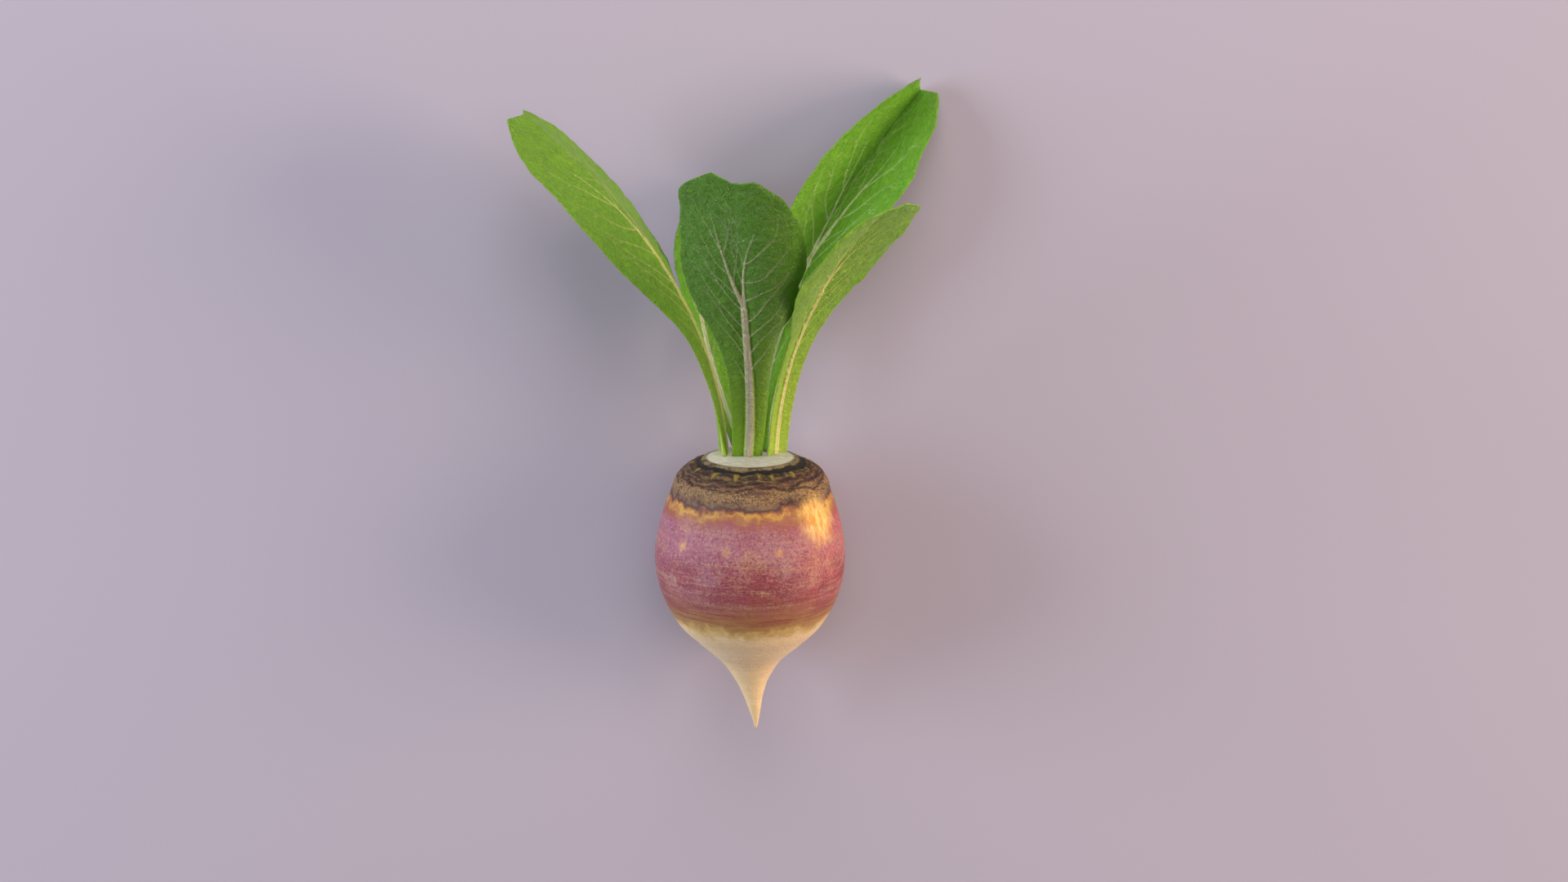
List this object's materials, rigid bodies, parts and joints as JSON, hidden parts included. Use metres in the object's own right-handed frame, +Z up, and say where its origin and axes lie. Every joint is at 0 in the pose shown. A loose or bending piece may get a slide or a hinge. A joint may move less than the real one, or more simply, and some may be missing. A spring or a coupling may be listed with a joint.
{
  "type": "turnip",
  "caption": "Whole turnip with a rounded purple and cream root, a thin taproot and long obovate leaves, lying on its belly.",
  "frame": {"origin": "middle of the small flat on the bulb's belly, on the surface that the turnip lies on", "axes": "+Z up from that surface, +Y from the taproot towards the leaves, +X to the right as seen from above with the leaves pointing away"},
  "size_m": [0.1795, 0.2762, 0.167],
  "materials": {
    "root_skin": "satin",
    "leaf_green": "satin"
  },
  "bodies": {
    "root": {"turnip_root": "root_skin", "front_leaf": "leaf_green", "left_leaf": "leaf_green", "right_leaf": "leaf_green", "back_left_leaf": "leaf_green", "back_right_leaf": "leaf_green"}
  },
  "joints": []
}
